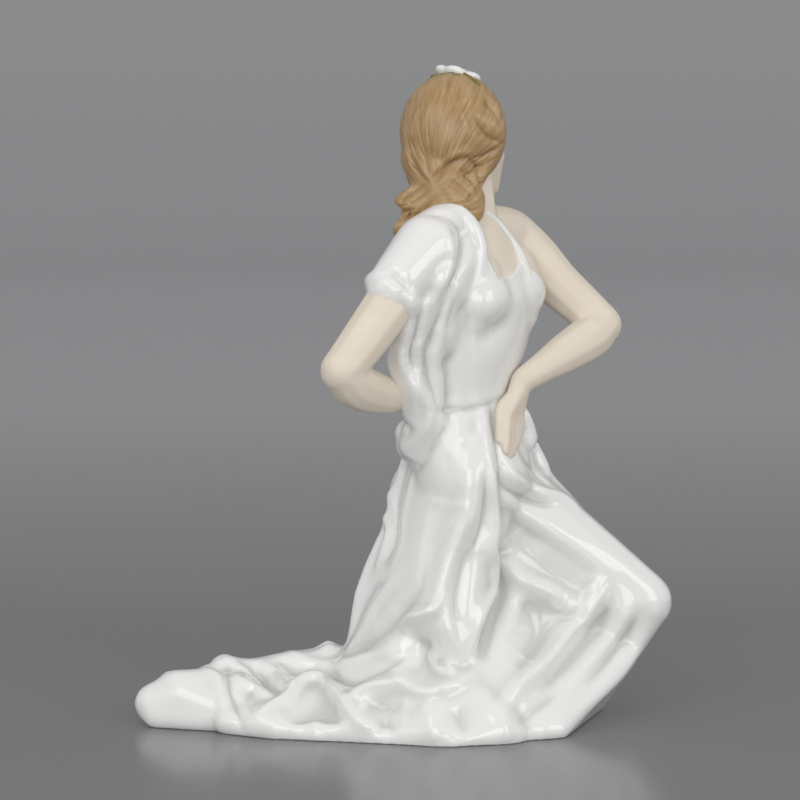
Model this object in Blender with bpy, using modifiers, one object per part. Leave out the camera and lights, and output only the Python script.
"""Porcelain figurine of a kneeling dancer with her hands on her hips, cast as one piece.

The pose is written in millimetres of a figure 262 mm tall and scaled to FIGURE_HEIGHT.
+X is to the right of the reference view, +Y away from it and +Z up.
"""

import math

import bmesh
import bpy
import numpy as np
from mathutils import Matrix, Vector
from mathutils.bvhtree import BVHTree

FIGURE_HEIGHT = 0.262
VOXEL = 1.5
TRIANGLES = 9400
FOLD_DEPTH = 1.35

# The reference view: where the eye is, and how its sheet of 800 by 800 units maps to millimetres
EYE_DISTANCE = 1300.0
EYE_ELEVATION = math.radians(7.0)
EYE_AIM = Vector((-1.4, 0.0, 127.0))
SHEET_CENTRE = 400.0
SHEET_UNIT = 0.4


def spline(stations, per_span=6):
    """A smooth Catmull-Rom run through the stations, whatever numbers each one holds."""
    p = np.array(stations, float)
    p = np.vstack([2 * p[0] - p[1], p, 2 * p[-1] - p[-2]])
    t = np.linspace(0.0, 1.0, per_span, endpoint=False)[:, None]
    runs = [
        0.5 * (2 * b + (c - a) * t + (2 * a - 5 * b + 4 * c - d) * t**2 + (3 * b - a - 3 * c + d) * t**3)
        for a, b, c, d in zip(p, p[1:], p[2:], p[3:])
    ]
    return np.vstack(runs + [p[-2][None]])


def limb(stations, per_span=6, sides=3):
    """A tapering round tube with round ends, through stations of x, y, z and radius."""
    run = spline(stations, per_span)
    first, last = run[0], run[-1]
    out_first = (first[:3] - run[1][:3]) / max(np.linalg.norm(first[:3] - run[1][:3]), 1e-6)
    out_last = (last[:3] - run[-2][:3]) / max(np.linalg.norm(last[:3] - run[-2][:3]), 1e-6)
    angles = np.radians([35.0, 62.0, 84.0])
    head = [(*(first[:3] + out_first * first[3] * math.sin(a)), first[3] * math.cos(a)) for a in angles]
    tail = [(*(last[:3] + out_last * last[3] * math.sin(a)), last[3] * math.cos(a)) for a in angles]
    run = np.vstack(head[::-1] + [run] + tail)
    data = bpy.data.curves.new("limb", "CURVE")
    data.dimensions = "3D"
    data.bevel_depth = 1.0
    data.bevel_resolution = sides
    data.use_fill_caps = True
    line = data.splines.new("POLY")
    line.points.add(len(run) - 1)
    for point, (x, y, z, r) in zip(line.points, run):
        point.co = (x, y, z, 1.0)
        point.radius = max(r, 0.05)
    thing = bpy.data.objects.new("limb", data)
    bpy.context.scene.collection.objects.link(thing)
    mesh = bpy.data.meshes.new_from_object(thing.evaluated_get(bpy.context.evaluated_depsgraph_get()))
    bpy.data.objects.remove(thing)
    bpy.data.curves.remove(data)
    return mesh


def ball(centre, radii, turn=None):
    """An ellipsoid with its radii along the axes of turn, a rotation matrix."""
    bm = bmesh.new()
    turned = turn.to_4x4() if turn else Matrix()
    place = Matrix.Translation(centre) @ turned @ Matrix.Diagonal((*radii, 1.0))
    bmesh.ops.create_uvsphere(bm, u_segments=32, v_segments=20, radius=1.0, matrix=place)
    return as_mesh(bm)


def hull(balls):
    """The skin stretched over several balls, each x, y, z and radius."""
    bm = bmesh.new()
    for x, y, z, r in balls:
        bmesh.ops.create_icosphere(bm, subdivisions=3, radius=r, matrix=Matrix.Translation((x, y, z)))
    made = bmesh.ops.convex_hull(bm, input=bm.verts)
    spare = made["geom_interior"] + made["geom_unused"]
    loose = list({g for g in spare if isinstance(g, bmesh.types.BMVert)})
    bmesh.ops.delete(bm, geom=loose, context="VERTS")
    return as_mesh(bm)


def loft(stations, sides=40):
    """A closed body through level ovals: x, y, z, half width, half depth and facing in degrees."""
    bm = bmesh.new()
    rings = []
    for x, y, z, wide, deep, facing in spline(stations, 5):
        front, left = heading(facing)
        ring = []
        for a in np.linspace(0.0, 2 * math.pi, sides, endpoint=False):
            at = Vector((x, y, z)) + left * (wide * math.cos(a)) - front * (deep * math.sin(a))
            ring.append(bm.verts.new(at))
        rings.append(ring)
    for low, high in zip(rings, rings[1:]):
        for i in range(sides):
            j = (i + 1) % sides
            bm.faces.new((low[i], low[j], high[j], high[i]))
    bm.faces.new(rings[0][::-1])
    bm.faces.new(rings[-1])
    bmesh.ops.recalc_face_normals(bm, faces=bm.faces)
    return as_mesh(bm)


def as_mesh(bm):
    mesh = bpy.data.meshes.new("mass")
    bm.to_mesh(mesh)
    bm.free()
    return mesh


def heading(degrees):
    """The forward and left directions of a body that faces this way, level."""
    a = math.radians(degrees)
    return Vector((math.cos(a), math.sin(a), 0.0)), Vector((-math.sin(a), math.cos(a), 0.0))


def frame_of(facing, nod=0.0, tilt=0.0):
    """Rotation whose columns are forward, left and up; nod drops the front, tilt leans to the left."""
    turn = Matrix.Rotation(math.radians(facing), 3, "Z")
    return turn @ Matrix.Rotation(math.radians(nod), 3, "Y") @ Matrix.Rotation(math.radians(-tilt), 3, "X")


def arrays(mesh):
    """The points and the edges of a mesh as arrays."""
    co = np.empty(len(mesh.vertices) * 3)
    mesh.vertices.foreach_get("co", co)
    ends = np.empty(len(mesh.edges) * 2, np.int64)
    mesh.edges.foreach_get("vertices", ends)
    return co.reshape(-1, 3), ends.reshape(-1, 2)


def relax(co, ends, passes, share=0.5):
    """Moves every point towards the mean of its neighbours, pass after pass."""
    i = np.concatenate([ends[:, 0], ends[:, 1]])
    j = np.concatenate([ends[:, 1], ends[:, 0]])
    count = np.bincount(i, minlength=len(co))[:, None]
    for _ in range(passes):
        mean = np.stack([np.bincount(i, weights=co[j, k], minlength=len(co)) for k in range(3)], 1) / count
        co = co + (mean - co) * share
    return co


def melt(masses, voxel, passes):
    """Fuses overlapping masses into one skin and softens it, as slip and a sponge do to clay."""
    bm = bmesh.new()
    for mass in masses:
        bm.from_mesh(mass)
    joined = as_mesh(bm)
    thing = bpy.data.objects.new("clay", joined)
    bpy.context.scene.collection.objects.link(thing)
    remesh = thing.modifiers.new("fuse", "REMESH")
    remesh.mode = "VOXEL"
    remesh.voxel_size = voxel
    mesh = bpy.data.meshes.new_from_object(thing.evaluated_get(bpy.context.evaluated_depsgraph_get()))
    bpy.data.objects.remove(thing)
    co, ends = arrays(mesh)
    mesh.vertices.foreach_set("co", relax(co, ends, passes).ravel())
    mesh.update()
    return mesh


# Torso: level ovals from the seat to the neck, each x, y, z, half width, half depth and facing
TORSO = [
    (27.0, 0.0, 86.0, 29.0, 21.0, -18.0),
    (28.0, 0.0, 98.0, 31.0, 23.0, -20.0),
    (27.0, 0.0, 112.0, 28.5, 20.5, -24.0),
    (26.0, 0.0, 124.0, 24.5, 17.0, -28.0),
    (26.0, 0.0, 133.0, 24.0, 16.5, -30.0),
    (27.5, 0.0, 146.0, 26.5, 18.0, -33.0),
    (29.0, 0.0, 160.0, 28.5, 19.0, -35.0),
    (29.5, 1.0, 174.0, 28.5, 18.5, -35.0),
    (29.0, 1.0, 186.0, 26.0, 15.0, -35.0),
    (29.0, 1.0, 194.0, 19.0, 11.5, -35.0),
    (29.5, 2.0, 199.0, 11.0, 9.0, -35.0),
]
CHEST_FACING = -35.0
HEAD_FACING = 46.0
HEAD = Vector((21.5, 5.0, 232.0))


def about_head(forward, left, up):
    """A place given from the middle of the head, in the way it faces."""
    return HEAD + frame_of(HEAD_FACING) @ Vector((forward, left, up))


# Bust: how far forward and aside of the spine each side is, its height, and the radii of the masses
BUST_FORWARD = 9.8
BUST_ASIDE = 12.4
BUST_LEVELS = ((-1, 169.0), (1, 171.0))
BUST_RADII = (11.4, 13.2, 12.8)
BUST_MIDDLE_RADII = (10.6, 13.0, 15.0)


def bust():
    front, left = heading(CHEST_FACING)
    turn = frame_of(CHEST_FACING)
    spine = Vector((29.5, 1.0, 0.0))
    made = [ball(spine + front * BUST_FORWARD + Vector((0, 0, 167.5)), BUST_MIDDLE_RADII, turn)]
    for side, up in BUST_LEVELS:
        middle = spine + front * BUST_FORWARD + left * side * BUST_ASIDE + Vector((0, 0, up))
        made.append(ball(middle, BUST_RADII, turn))
        for shift in (-7.0, 7.0):
            made.append(ball(middle - front * 3.0 + Vector((0, 0, shift)), BUST_RADII, turn))
    return made


# Arms: each a run of stations of x, y, z and radius
ARMS = [
    [(30, 3, 197, 8.0), (37, 14, 195.5, 9.3), (43.5, 24, 192.5, 10.0)],
    [(29, 0, 196, 8.5), (18, -14, 195, 9.0), (10, -26, 190, 10.5)],
    [(43.5, 24, 192.5, 10.0), (53, 27, 183, 10.2), (62, 27, 172.5, 9.8), (72, 26, 163.5, 9.0),
     (81, 24.5, 155.5, 8.2)],
    [(81, 24.5, 155.5, 8.2), (75, 18, 150.5, 9.3), (65, 8, 145.5, 8.3), (55, -2, 140.5, 6.3),
     (47.5, -8, 136.5, 5.2)],
    [(9.5, -27, 190, 10.8), (0, -34, 177, 10.5), (-11, -43, 162, 9.8), (-21, -50, 149, 8.8),
     (-24, -52, 145.5, 8.5)],
    [(-24, -52, 145.5, 8.5), (-19, -45, 139, 9.1), (-12, -35, 135, 8.4), (-4, -24, 132, 6.6),
     (0, -18, 131, 5.6)],
]


def arms():
    return [limb(run) for run in ARMS]


# Radii of a hand: the wrist, the knuckles, a finger from root to tip, and the root of the thumb
WRIST = 4.4
KNUCKLE = 2.5
FINGER = (2.4, 2.45, 2.15, 1.7)
THUMB_ROOT = 3.0


def hand(wrist, knuckles, spread, fingers, thumb):
    """A palm from the wrist to the knuckles, four fingers side by side and a thumb."""
    wrist, knuckles, spread = Vector(wrist), Vector(knuckles), Vector(spread).normalized()
    roots = [knuckles + spread * along for along in (-5.0, -1.7, 1.7, 4.8)]
    palm = hull([(*wrist, WRIST)] + [(*root, KNUCKLE) for root in roots])
    made = [palm]
    for root, (bend, tip) in zip(roots, fingers):
        start = root.lerp(wrist, 0.15)
        made.append(limb([(*place, r) for place, r in zip((start, root, bend, tip), FINGER)]))
    made.append(limb([(*wrist.lerp(knuckles, 0.25), THUMB_ROOT)] + [(*place, r) for place, r in thumb]))
    return made


def hands():
    left = hand(
        (46.5, -8.5, 135.0), (43.5, -12.0, 124.0), (0.55, 0.83, 0.0),
        [
            ((40.6, -18.2, 117), (40.3, -19.8, 110)),
            ((42.2, -15.6, 116), (41.6, -17.8, 107)),
            ((44.2, -12.6, 116.5), (43.2, -15.4, 108)),
            ((46.2, -9.2, 118), (45.2, -12.4, 111.5)),
        ],
        [((39.0, -15.5, 127), 2.5), ((38.0, -18.0, 120), 2.1), ((37.6, -19.4, 114), 1.7)],
    )
    right = hand(
        (0.5, -17.0, 130.5), (4.5, -8.0, 125.0), (-0.25, 0.25, 0.93),
        [
            ((9.0, -1.0, 119.5), (10.5, 4.0, 116)),
            ((8.0, -0.5, 122.5), (9.5, 5.5, 119)),
            ((7.0, -0.5, 126.0), (8.5, 5.0, 123)),
            ((6.0, -1.5, 129.5), (7.5, 3.0, 127.5)),
        ],
        [((4.0, -15.0, 123.5), 2.5), ((7.5, -16.0, 118.5), 2.1), ((10.0, -17.0, 115), 1.7)],
    )
    return left + right


def head():
    turn = frame_of(HEAD_FACING)
    jaw = [((18.6, 0, -20.4), 4.3), ((15.5, 2.6, -19.6), 4.2), ((15.5, -2.6, -19.6), 4.2)]
    jaw += [((3.0, side * 8.6, -14.0), 4.4) for side in (-1, 1)]
    jaw += [((11.5, side * 7.4, -7.5), 5.6) for side in (-1, 1)]
    return [
        limb([(30, 2, 192, 9.5), (29.5, 2.5, 202, 7.8), (28.0, 5, 214, 8.0)]),
        ball(about_head(0, 0, 3), (19.6, 16.2, 19.0), turn),
        ball(about_head(8.4, 0, -6.0), (12.6, 13.0, 17.0), turn),
        hull([(*about_head(*at), radius) for at, radius in jaw]),
        hull([(*about_head(20.2, 0, 1.5), 1.2), (*about_head(24.0, 0, -7.2), 1.5),
              (*about_head(20.5, 2.4, -8.2), 1.4),
              (*about_head(20.5, -2.4, -8.2), 1.4)]),
    ]


def carved(body, cutters):
    """A mass with other masses taken out of it."""
    things = [bpy.data.objects.new("cut", mesh) for mesh in [body] + cutters]
    for thing in things:
        bpy.context.scene.collection.objects.link(thing)
    for tool in things[1:]:
        cut = things[0].modifiers.new("cut", "BOOLEAN")
        cut.operation = "DIFFERENCE"
        cut.solver = "EXACT"
        cut.object = tool
    mesh = bpy.data.meshes.new_from_object(things[0].evaluated_get(bpy.context.evaluated_depsgraph_get()))
    for thing in things:
        bpy.data.objects.remove(thing)
    return mesh


def hair():
    """A smooth crown open at the face, waves swept back over the ears, and two loose ends below the tie."""
    turn = frame_of(HEAD_FACING)
    crown = ball(about_head(-2.5, 0, 2.0), (22.5, 20.5, 23.7), turn)
    window = hull([(*about_head(27.0, side * 4.0, up), 12.5) for side in (-1, 1) for up in (-4.0, -30.0)])
    return [
        carved(crown, [window]),
        limb([(12, -2, 226, 14), (14.5, -6, 214, 12), (15, -10, 206, 10)]),
        limb([(33.5, -5, 243, 5.2), (35.6, -6, 235, 5.0), (35.2, -5, 228.5, 4.2), (31.5, -6, 221, 4.0),
              (26, -9, 214, 4.5)]),
        hull([(17, -9, 213, 9.5), (24.4, -9.5, 207.5, 8.0), (26.6, -12.5, 203.6, 5.3),
              (18, -14, 206, 7.5)]),
        limb([(12, -8, 208, 9.2), (6.0, -11, 203.5, 7.4), (2.4, -13, 199.3, 5.2), (0.8, -14, 196.4, 3.4)]),
        limb([(7, -9, 210, 6.0), (1.0, -10.5, 208.6, 3.6), (-1.6, -11.5, 207.4, 2.1)]),
        limb([(3.5, -13, 199, 4.2), (-1.0, -14.5, 196.8, 3.0), (-1.2, -15, 193.4, 2.3),
              (1.0, -15, 191.8, 1.6)]),
        hull([(14, 14, 228, 9), (17, 19, 216, 6.5), (15, 14, 207, 6.5), (10, 2, 207, 8), (20, 22, 226, 5)]),
        limb([(20, 21, 219, 5.0), (18, 18, 209, 4.6), (14, 14, 203, 3.2), (11, 12, 200, 2.0)]),
    ]


# Flower: where it sits about the head, the way it opens, the radii of its eye, petals and leaves,
# and how far each petal and leaf is from its middle and above its foot
FLOWER_AT = (3.0, 2.8, 23.3)
FLOWER_AXIS = (0.34, -0.05, 0.94)
FLOWER_EYE = (2.6, 2.6, 2.2)
PETAL = (5.0, 5.2, 2.4)
PETAL_OUT, PETAL_UP, PETAL_RISE = 4.9, 1.0, 0.22
LEAF = (6.0, 3.6, 1.4)
LEAF_OUT, LEAF_UP = 6.6, -1.5


def flower():
    """Five cupped petals round a small eye, on three leaves, at the top of the head."""
    axis = (frame_of(HEAD_FACING) @ Vector(FLOWER_AXIS)).normalized()
    side = axis.cross(Vector((0, 0, 1))).normalized()
    across = axis.cross(side)
    middle = about_head(*FLOWER_AT)
    made = [ball(middle + axis * 1.4, FLOWER_EYE)]
    for k in range(5):
        angle = math.radians(72 * k + 20)
        out = side * math.cos(angle) + across * math.sin(angle)
        rising = (out + axis * PETAL_RISE).normalized()
        turn = Matrix((rising, axis.cross(out), rising.cross(axis.cross(out)))).transposed()
        made.append(ball(middle + out * PETAL_OUT + axis * PETAL_UP, PETAL, turn))
    for k in range(3):
        angle = math.radians(120 * k + 80)
        out = side * math.cos(angle) + across * math.sin(angle)
        turn = Matrix((out, axis.cross(out), axis)).transposed()
        made.append(ball(middle + out * LEAF_OUT + axis * LEAF_UP, LEAF, turn))
    return made


def chain(levels):
    """Skins stretched from each level of balls to the next, so that the outline can be hollow."""
    return [hull(low + high) for low, high in zip(levels, levels[1:])]


def skirt():
    column = chain([
        [(20, -6, 113, 17), (30, 7, 113, 16)],
        [(15.5, 0, 98, 15.5), (25, -12, 98, 17.5), (37, 11, 98, 16)],
        [(8, 2, 69, 16), (18, -15, 69, 17.5), (24, 16, 69, 17), (32, 4, 69, 13)],
        [(-3, 5, 45, 16), (15, -20, 45, 18), (18, 20, 45, 18), (32, 4, 45, 13)],
        [(-8, 6, 20, 17), (10, -26, 18, 18), (12, 26, 18, 18), (38, 4, 20, 14)],
        [(-30, -42, 3, 6), (20, -52, 3, 6), (44, -46, 3, 5), (50, 40, 3, 6), (8, 50, 3, 6),
         (-32, 40, 3, 6)],
    ])
    thigh = limb([(30, 6, 98, 16), (62, 6, 73, 14.5), (97, 4, 46, 11.5)])
    lap = chain([
        [(34, 4, 88, 9), (62, 4, 72, 11), (97, 4, 46, 11)],
        [(30, -8, 50, 9), (58, -3, 42, 8), (90, 4, 28, 7)],
        [(22, -46, 4, 6), (48, -43, 3, 5), (61, -39, 3, 4), (77, 12, 4, 5.5)],
    ])
    far = chain([
        [(36, 13, 96, 15), (62, 8, 72, 12), (95, 6, 45, 10)],
        [(26, 20, 50, 14), (60, 18, 40, 10), (86, 12, 28, 8)],
        [(10, 48, 4, 6), (56, 42, 4, 6), (76, 20, 3, 5)],
    ])
    hip = chain([
        [(38, 13, 117, 9.5), (30, 16, 116, 10)],
        [(45, 17, 101, 10), (30, 18, 101, 12)],
        [(52, 16, 86, 10), (40, 18, 84, 12)],
    ])
    train = [
        limb([(-10, 8, 14, 13), (-28, 7, 13.5, 12.5), (-46, 5, 12.5, 12), (-62, 2, 12.5, 9.8),
              (-73, -1, 14.6, 9.6)]),
        hull([(-36, 6, 8, 11), (-60, 2, 8, 9), (-50, -40, 4, 5.5), (-70, -31, 4, 5.0), (-12, -46, 4, 6),
              (-8, 4, 14, 12)]),
        hull([(-36, 12, 8, 11), (-60, 14, 6, 9), (-58, 30, 4, 5.5), (-30, 40, 4, 6), (-8, 8, 14, 12)]),
        hull([(-99.8, -16, 8.2, 7.6), (-88, -16, 10.9, 10.4), (-98.5, -20, 4, 5), (-84, -24, 4, 5)]),
        hull([(-88, -16, 10.9, 10.4), (-69, -14, 10.8, 10.2), (-84, -24, 4, 5), (-64, -27, 4, 6)]),
    ]
    return column + lap + far + hip + train + [thigh]


def hoop(centre, axis, radius, thick):
    """A rolled rim round an axis."""
    axis = Vector(axis).normalized()
    side = axis.cross(Vector((0, 0, 1))).normalized()
    across = axis.cross(side)
    turns = np.linspace(0.0, 2 * math.pi, 13)
    ring = [Vector(centre) + (side * math.cos(a) + across * math.sin(a)) * radius for a in turns]
    return limb([(*place, thick) for place in ring], 3)


def sleeve():
    """The shawl over her right shoulder, its short sleeve and the end that hangs to the hand."""
    cap = [
        hull([(15, -20, 198.6, 8.2), (9.0, -27, 190.5, 12.6), (-2.0, -37, 178.8, 10.2),
              (-4.0, -38.2, 175, 10.2)]),
        hull([(15.5, -18, 199, 7.6), (22.5, -15, 194.5, 7), (20.5, -23, 184, 7.5), (10, -30, 180, 10),
              (20, -24, 174, 6)]),
        hoop((-4.4, -37.6, 173.0), (-11, -9, -15), 10.0, 2.5),
        limb([(13.5, -21, 204, 2.6), (20.5, -19, 204, 3.0), (26.5, -19, 198.5, 3.1),
              (29.8, -20, 189.5, 3.1), (28.6, -22.5, 181, 3.0),
              (25, -24, 173, 2.9), (21.5, -24.5, 163, 2.7), (17.5, -24.5, 152, 2.6)]),
    ]
    hanging = chain([
        [(0, -36, 172, 7.0), (16, -27, 176, 8)],
        [(0.6, -32, 158, 5.4), (13, -27, 158, 6.8)],
        [(-1.4, -29, 146, 5.0), (9, -26, 146, 6)],
        [(2.4, -27, 134, 4.8), (10, -25, 134, 5.5)],
        [(5, -24, 122, 4.8), (10, -23, 122, 5.5)],
        [(4, -19, 112, 5.4), (7, -19, 110, 5)],
    ])
    bundle = [
        hull([(1.8, -15, 117.2, 5.0), (2.5, -12, 111, 5.4), (5, -16, 107, 4)]),
        limb([(47.5, -6, 123.5, 2.4), (48.6, -4, 119.5, 3.0), (49.5, -1, 113, 4.2)]),
    ]
    return cap + hanging + bundle


def sight(azimuth):
    """The eye of a view from this side: its place, and the ways ahead, right and up on the sheet."""
    side = math.radians(azimuth)
    level = math.cos(EYE_ELEVATION)
    back = Vector((math.sin(side) * level, -math.cos(side) * level, math.sin(EYE_ELEVATION)))
    right = Vector((math.cos(side), math.sin(side), 0.0))
    return EYE_AIM + back * EYE_DISTANCE, -back, right, back.cross(right)


def throw(tree, azimuth, spots):
    """Where sight lines through spots on the sheet meet the clay: points and normals."""
    eye, ahead, right, up = sight(azimuth)
    hits = []
    for across, down in spots:
        spot = right * (across - SHEET_CENTRE) + up * (SHEET_CENTRE - down)
        way = ahead * EYE_DISTANCE + spot * SHEET_UNIT
        place, normal, _, _ = tree.ray_cast(eye, way.normalized())
        if place is not None:
            hits.append((*place, *normal))
    return hits


# Folds drawn on the sheet: azimuth of the view, half width and height in millimetres, sheet spots.
# A negative height is a hollow.
FOLDS = [
    # Panel down the front of the skirt
    (0, 3.0, 2.4, [(472, 440), (468, 470), (466, 496), (464, 516), (458, 533), (450, 554), (444, 574),
                   (439, 592), (434, 606)]),
    (0, 3.2, 3.2, [(482, 420), (486, 450), (490, 472), (494, 500), (493, 522), (489, 545), (491, 565),
                   (491, 588), (482, 608),
                   (475, 628), (472, 655)]),
    (0, 2.6, 1.4, [(479, 452), (477, 480), (475, 505), (471, 525)]),
    (0, 2.4, -2.0, [(484, 470), (485, 500), (482, 525), (474, 550)]),
    (0, 5.0, -2.8, [(470, 545), (462, 575), (458, 600), (460, 622)]),
    (0, 3.8, -5.2, [(501, 462), (503, 490), (502, 520), (499, 548), (501, 572), (501, 596), (492, 622),
                    (484, 650)]),
    (0, 9.0, -2.6, [(442, 500), (436, 535), (424, 565), (408, 592), (392, 612)]),
    (0, 1.6, 1.2, [(447, 596), (448, 618), (453, 636), (462, 652)]),
    # Turned end of the panel with its hollow
    (0, 5.5, -9.0, [(400, 632), (412, 638), (426, 642), (440, 646)]),
    (0, 5.0, -7.0, [(404, 650), (418, 658), (434, 662), (452, 660)]),
    (0, 2.4, 4.2, [(396, 624), (405, 618), (418, 614), (431, 608), (438, 600)]),
    (0, 2.4, 2.8, [(392, 668), (403, 679), (416, 688), (428, 690), (443, 686), (458, 681), (472, 674)]),
    (0, 1.4, 1.2, [(424, 642), (428, 656), (440, 664), (456, 668)]),
    # Ribbon fold and long folds down the left of the skirt
    (0, 1.8, 2.0, [(405, 462), (399, 474), (392, 490), (390, 512), (391, 530), (386, 548), (378, 566)]),
    (0, 1.6, -2.0, [(410, 458), (404, 478), (398, 500), (397, 522), (395, 542), (386, 562)]),
    (0, 2.4, 1.0, [(418, 460), (412, 485), (406, 512), (403, 540), (392, 568)]),
    (0, 3.6, -1.6, [(420, 585), (402, 608), (384, 630), (362, 648)]),
    (0, 3.0, 1.8, [(398, 572), (382, 596), (368, 620), (352, 644)]),
    (0, 2.4, -1.4, [(378, 582), (366, 602), (356, 624), (348, 642)]),
    (0, 3.6, 1.8, [(400, 634), (380, 650), (350, 660), (318, 662)]),
    (0, 4.0, -1.6, [(402, 652), (384, 666), (352, 676), (322, 674)]),
    # Waist
    (0, 1.4, -1.1, [(432, 409), (450, 408), (470, 407), (488, 402), (500, 396)]),
    (0, 2.2, 1.2, [(480, 404), (482, 420), (481, 440)]),
    (0, 2.0, 0.8, [(458, 410), (461, 425), (461, 440)]),
    (0, 2.0, -1.8, [(491, 404), (493, 420), (496, 440), (499, 458)]),
    # Hip, thigh and the wide hollow beneath
    (0, 2.6, 2.4, [(506, 462), (514, 476), (528, 486), (544, 492), (560, 496), (574, 503)]),
    (0, 2.6, -2.6, [(502, 474), (514, 490), (532, 499), (552, 504)]),
    (0, 2.0, -1.6, [(514, 438), (524, 456), (536, 472), (546, 482)]),
    (0, 1.8, 1.4, [(524, 432), (534, 450), (546, 476)]),
    (0, 4.0, 1.4, [(512, 500), (532, 514), (556, 530), (584, 548), (608, 566)]),
    (0, 8.0, -3.2, [(512, 535), (540, 560), (572, 582), (592, 592)]),
    (0, 2.8, 3.4, [(494, 548), (503, 559), (514, 571), (528, 580), (544, 586), (555, 592), (560, 602)]),
    (0, 11.0, -5.5, [(516, 608), (540, 622), (524, 650)]),
    (0, 5.0, -2.4, [(556, 614), (540, 640), (520, 668)]),
    # Folds from the knee
    (0, 3.2, 3.6, [(602, 584), (594, 601), (584, 616), (570, 629), (556, 646), (543, 661), (528, 674),
                   (512, 692), (504, 706)]),
    (0, 4.2, -3.4, [(612, 602), (600, 622), (584, 644), (566, 664), (546, 684)]),
    (0, 3.0, 1.8, [(632, 604), (620, 624), (606, 642), (590, 660), (572, 678)]),
    (0, 3.4, -1.8, [(636, 614), (624, 636), (608, 658), (590, 678)]),
    (0, 3.0, 1.6, [(646, 628), (634, 650), (618, 672), (600, 690), (584, 704)]),
    (0, 3.0, -1.4, [(560, 690), (540, 704), (520, 716)]),
    # Arches of the hem and the train
    (0, 2.6, 4.0, [(258, 712), (272, 704), (286, 697), (297, 686), (306, 680), (320, 678), (330, 683),
                   (338, 694), (348, 707),
                   (360, 717), (372, 724)]),
    (0, 7.0, -5.5, [(288, 722), (306, 708), (322, 706), (338, 722)]),
    (0, 3.0, -2.0, [(296, 668), (320, 668), (346, 676), (362, 682)]),
    (0, 2.2, 2.6, [(350, 692), (360, 687), (376, 683), (392, 681), (402, 680)]),
    (0, 6.0, -3.2, [(362, 700), (380, 702), (404, 706)]),
    (0, 4.0, -2.2, [(372, 728), (384, 722), (396, 730)]),
    (0, 2.4, 2.8, [(238, 676), (248, 685), (258, 691), (270, 695)]),
    (0, 2.0, 1.6, [(232, 660), (242, 668), (256, 682), (264, 690)]),
    (0, 2.6, -2.6, [(247, 662), (258, 672), (270, 683), (282, 692)]),
    (0, 2.6, 2.2, [(260, 661), (272, 671), (284, 684), (292, 690)]),
    (0, 2.6, -2.2, [(276, 656), (290, 665), (304, 674)]),
    (0, 3.0, 1.6, [(290, 650), (306, 660), (330, 666)]),
    (0, 2.0, -2.2, [(227, 662), (228, 676), (230, 690), (236, 704), (240, 724)]),
    (0, 2.0, 1.6, [(234, 678), (234, 692), (242, 708)]),
    (0, 2.4, 1.8, [(208, 668), (216, 676), (222, 690), (224, 706)]),
    (0, 5.0, 2.2, [(420, 704), (432, 716), (434, 738)]),
    (0, 6.0, -2.4, [(452, 704), (462, 720), (466, 738)]),
    (0, 5.0, 2.0, [(486, 700), (500, 716), (508, 738)]),
    (0, 5.0, -1.8, [(520, 712), (530, 726), (536, 738)]),
    # Shawl
    (0, 2.2, -1.9, [(432, 214), (446, 216), (456, 223), (461, 236), (462, 252), (458, 268), (451, 282),
                    (445, 300), (438, 322)]),
    (0, 2.6, 1.6, [(444, 228), (450, 246), (448, 266), (440, 286), (430, 304)]),
    (0, 2.2, -1.4, [(456, 296), (452, 314), (446, 332)]),
    (0, 2.2, -1.6, [(383, 270), (394, 276), (406, 286), (412, 298)]),
    (0, 2.2, 3.0, [(411, 298), (409, 322), (406, 340), (403, 352), (404, 364), (409, 376), (413, 392),
                   (416, 408)]),
    (0, 2.0, -3.0, [(418, 312), (415, 332), (410, 346), (411, 362), (414, 376)]),
    (0, 2.4, 3.2, [(424, 304), (420, 330), (417, 350), (417, 372), (421, 388), (428, 402), (430, 414),
                   (425, 428), (414, 444)]),
    (0, 2.6, -3.4, [(438, 318), (430, 338), (424, 354), (426, 374), (432, 392), (436, 410)]),
    (0, 2.4, -1.6, [(402, 420), (410, 430), (404, 444)]),
    (0, 3.0, -1.2, [(462, 300), (454, 322), (446, 346), (440, 372)]),
    # Bodice
    (0, 6.0, -2.0, [(474, 332), (488, 330), (500, 322), (510, 310)]),
    (0, 2.2, 1.0, [(534, 322), (536, 330), (532, 344)]),
]


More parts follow.
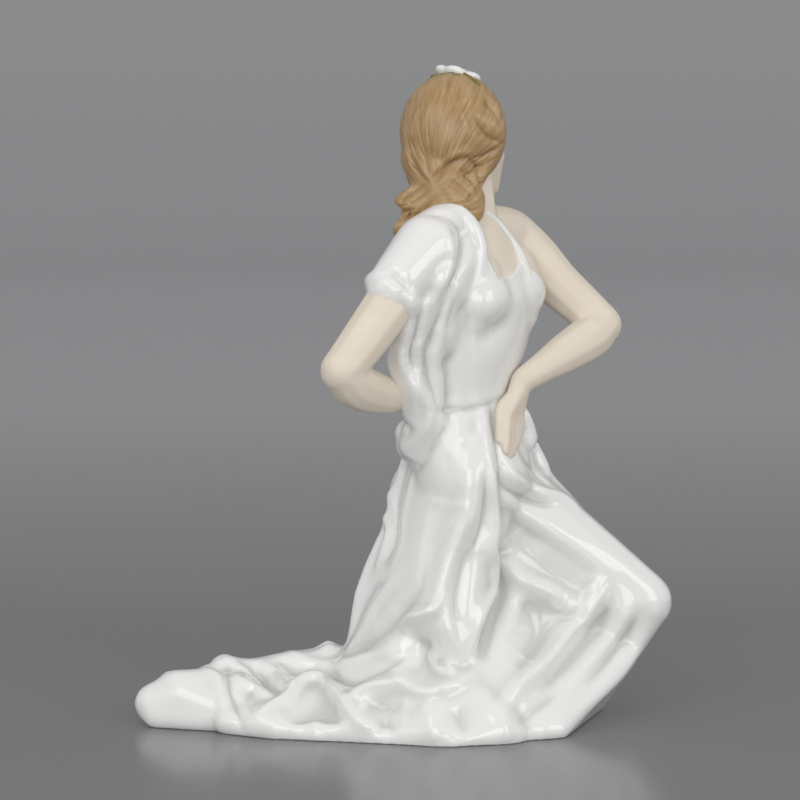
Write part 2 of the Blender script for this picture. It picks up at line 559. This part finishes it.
# Locks of the hair, drawn the same way
HAIR_FOLDS = [
    # Waves swept back over the ear
    (0, 1.2, -1.3, [(484, 98), (489, 106), (496, 115), (502, 126)]),
    (0, 2.4, 1.2, [(484, 112), (491, 122), (499, 133)]),
    (0, 1.2, -1.6, [(476, 117), (482, 127), (490, 136), (502, 143)]),
    (0, 2.0, 0.7, [(480, 92), (488, 98), (497, 110)]),
    (0, 3.0, 0.9, [(468, 126), (478, 140), (490, 147)]),
    # Deep crease above the tie
    (0, 1.4, -2.1, [(434, 180), (440, 172), (448, 164), (457, 160), (467, 157)]),
    (0, 1.3, -1.8, [(466, 157), (474, 163), (477, 168)]),
    (0, 1.1, -1.4, [(472, 158), (481, 156), (491, 151), (499, 148)]),
    (0, 1.6, 1.2, [(430, 177), (438, 167), (448, 158), (460, 152), (470, 151)]),
    # Strands drawn down to the tie
    (0, 1.0, 0.6, [(404, 136), (408, 156), (414, 172), (424, 182)]),
    (0, 0.9, -0.7, [(409, 140), (413, 158), (419, 172), (428, 182)]),
    (0, 1.0, 0.6, [(416, 146), (420, 162), (426, 174), (432, 181)]),
    (0, 0.9, -0.7, [(424, 150), (427, 164), (431, 176)]),
    (0, 1.0, 0.5, [(434, 148), (434, 162), (434, 175)]),
    (0, 0.9, -0.6, [(446, 146), (442, 160), (437, 173)]),
    (0, 1.3, -1.5, [(431, 184), (437, 185), (443, 184)]),
    # The end on the right
    (0, 3.2, 1.3, [(443, 180), (454, 170), (464, 168), (474, 176), (482, 190)]),
    (0, 1.0, -0.9, [(440, 183), (452, 179), (464, 187), (476, 200)]),
    (0, 1.0, -0.9, [(438, 186), (446, 195), (456, 203), (468, 210)]),
    (0, 1.2, 0.8, [(446, 186), (458, 194), (472, 206)]),
    (0, 0.9, -0.8, [(460, 172), (470, 180), (480, 194)]),
    (0, 1.1, -1.3, [(476, 166), (478, 176), (481, 184)]),
    (0, 1.5, 0.9, [(485, 160), (486, 170), (483, 179)]),
    # The end on the left
    (0, 1.0, -0.9, [(430, 188), (418, 197), (407, 207), (401, 220)]),
    (0, 1.3, 0.9, [(432, 192), (422, 202), (412, 212), (404, 226)]),
    (0, 1.0, -0.9, [(424, 186), (412, 192), (404, 200)]),
    (0, 1.2, 0.8, [(418, 184), (408, 190), (400, 195)]),
    (0, 1.0, -0.8, [(436, 196), (426, 206), (416, 215)]),
    # Hidden side
    (180, 1.3, 0.8, [(350, 96), (344, 120), (346, 144), (356, 164)]),
    (180, 1.2, -0.9, [(360, 90), (353, 116), (354, 144), (362, 166)]),
    (180, 1.4, 0.8, [(372, 86), (364, 114), (364, 144), (368, 168)]),
    (180, 1.2, -1.0, [(338, 150), (346, 166), (350, 186), (346, 200)]),
    (180, 1.4, 0.9, [(330, 156), (338, 172), (342, 190), (338, 206)]),
]


def fan(azimuth, tops, bottoms, count, width, height, sway):
    """Folds that spread from one line on the sheet to another, with hollows between them."""
    tops, bottoms = np.array(tops, float), np.array(bottoms, float)
    made = []
    for k in range(2 * count - 1):
        share = k / (2 * count - 2)
        top = tops[0] + (tops[1] - tops[0]) * share
        bottom = bottoms[0] + (bottoms[1] - bottoms[0]) * share
        start = top + (bottom - top) * (0.07 * ((k * 5) % 4))
        run = []
        for t in np.linspace(0.0, 1.0, 6):
            bend = sway * math.sin(math.pi * (1.6 * t + 0.37 * k))
            run.append(tuple(start + (bottom - start) * t + np.array((bend * t, 0.0))))
        made.append((azimuth, width, height if k % 2 == 0 else -0.9 * height, run))
    return made


def hidden_folds():
    """Plainer drapery on the sides the reference view does not show."""
    return (
        fan(180, [(290, 430), (372, 430)], [(235, 722), (505, 715)], 7, 3.6, 2.4, 7)
        + fan(180, [(262, 505), (160, 590)], [(225, 715), (190, 690)], 3, 3.6, 2.0, 5)
        + fan(90, [(425, 640), (450, 620)], [(425, 722), (500, 718)], 3, 3.4, 1.8, 4)
        + fan(90, [(425, 430), (462, 430)], [(455, 640), (510, 690)], 3, 3.4, 2.2, 5)
        + fan(270, [(345, 430), (405, 430)], [(285, 700), (395, 640)], 5, 3.2, 2.2, 6)
        + fan(225, [(545, 660), (600, 690)], [(480, 735), (560, 735)], 3, 3.0, 1.8, 4)
    )


def carve(mesh, folds):
    """Raises and sinks the clay along folds drawn on the sheet."""
    tree = BVHTree.FromPolygons([v.co for v in mesh.vertices], [tuple(f.vertices) for f in mesh.polygons])
    co, ends = arrays(mesh)
    normals = np.empty(len(co) * 3)
    mesh.vertices.foreach_get("normal", normals)
    normals = relax(normals.reshape(-1, 3), ends, 8)
    normals /= np.maximum(np.linalg.norm(normals, axis=1, keepdims=True), 1e-6)
    moved = np.zeros(len(co))
    for azimuth, width, height, spots in folds:
        hits = throw(tree, azimuth, spline([(*spot, 0.0) for spot in spots], 6)[:, :2])
        if len(hits) < 3:
            continue
        line = np.array(hits)
        places, facing = line[:, :3], line[:, 3:]
        share = np.sin(np.linspace(0.12, math.pi - 0.12, len(line))) ** 0.6
        near = np.all((co > places.min(0) - 2.5 * width) & (co < places.max(0) + 2.5 * width), axis=1).nonzero()[0]
        gap = np.linalg.norm(co[near, None] - places[None], axis=2)
        at = gap.argmin(1)
        away = gap[np.arange(len(near)), at]
        front = np.clip(2.0 * np.sum(normals[near] * facing[at], axis=1), 0.0, 1.0)
        moved[near] += FOLD_DEPTH * height * share[at] * front * np.exp(-((away / width) ** 1.7))
    mesh.vertices.foreach_set("co", relax(co + normals * moved[:, None], ends, 1).ravel())
    mesh.update()
    return mesh


def outer_skin(bm):
    """Deletes the skins of small pockets closed inside the clay and keeps the largest skin."""
    bm.verts.ensure_lookup_table()
    island = [-1] * len(bm.verts)
    sizes = []
    for seed in bm.verts:
        if island[seed.index] >= 0:
            continue
        island[seed.index] = len(sizes)
        front, size = [seed], 0
        while front:
            vert = front.pop()
            size += 1
            for edge in vert.link_edges:
                other = edge.other_vert(vert)
                if island[other.index] < 0:
                    island[other.index] = len(sizes)
                    front.append(other)
        sizes.append(size)
    largest = sizes.index(max(sizes))
    bmesh.ops.delete(bm, geom=[v for v in bm.verts if island[v.index] != largest], context="VERTS")


def flatten(mesh):
    """Cuts the underside flat at the level it rests on."""
    bm = bmesh.new()
    bm.from_mesh(mesh)
    everything = bm.verts[:] + bm.edges[:] + bm.faces[:]
    cut = bmesh.ops.bisect_plane(
        bm, geom=everything, plane_co=(0, 0, 0), plane_no=(0, 0, 1), clear_inner=True
    )
    rim = [g for g in cut["geom_cut"] if isinstance(g, bmesh.types.BMEdge)]
    bmesh.ops.edgeloop_fill(bm, edges=rim)
    outer_skin(bm)
    bmesh.ops.recalc_face_normals(bm, faces=bm.faces)
    return as_mesh(bm)


def thin(mesh, triangles):
    """Keeps the form with this many triangles."""
    thing = bpy.data.objects.new("thin", mesh)
    bpy.context.scene.collection.objects.link(thing)
    mesh.calc_loop_triangles()
    less = thing.modifiers.new("fewer", "DECIMATE")
    less.ratio = triangles / len(mesh.loop_triangles)
    less.use_collapse_triangulate = True
    made = bpy.data.meshes.new_from_object(thing.evaluated_get(bpy.context.evaluated_depsgraph_get()))
    bpy.data.objects.remove(thing)
    return made


def settle(mesh):
    """Scales the figure to its height and stands it on the ground, over the middle of its outline."""
    co, _ = arrays(mesh)
    low, high = co.min(0), co.max(0)
    middle = (low + high) / 2
    mesh.transform(Matrix.Translation((-middle[0], -middle[1], -low[2])))
    mesh.transform(Matrix.Scale(FIGURE_HEIGHT / (high[2] - low[2]), 4))
    mesh.shade_smooth()
    return mesh


def porcelain():
    material = bpy.data.materials.new("white_porcelain")
    material.use_nodes = True
    shader = material.node_tree.nodes["Principled BSDF"]
    shader.inputs["Base Color"].default_value = (0.86, 0.86, 0.84, 1.0)
    shader.inputs["Roughness"].default_value = 0.12
    shader.inputs["Metallic"].default_value = 0.0
    return material


def main():
    for thing in list(bpy.data.objects):
        bpy.data.objects.remove(thing)
    body = [loft(TORSO)] + bust() + arms() + hands() + head()
    masses = body + hair() + flower() + skirt() + sleeve()
    clay = carve(melt(masses, VOXEL, 4), FOLDS + HAIR_FOLDS + hidden_folds())
    mesh = settle(thin(flatten(melt([clay], VOXEL, 1)), TRIANGLES))
    mesh.name = "dancer"
    mesh.materials.append(porcelain())
    dancer = bpy.data.objects.new("dancer", mesh)
    group = bpy.data.collections.new("dancer_figurine")
    bpy.context.scene.collection.children.link(group)
    group.objects.link(dancer)


main()
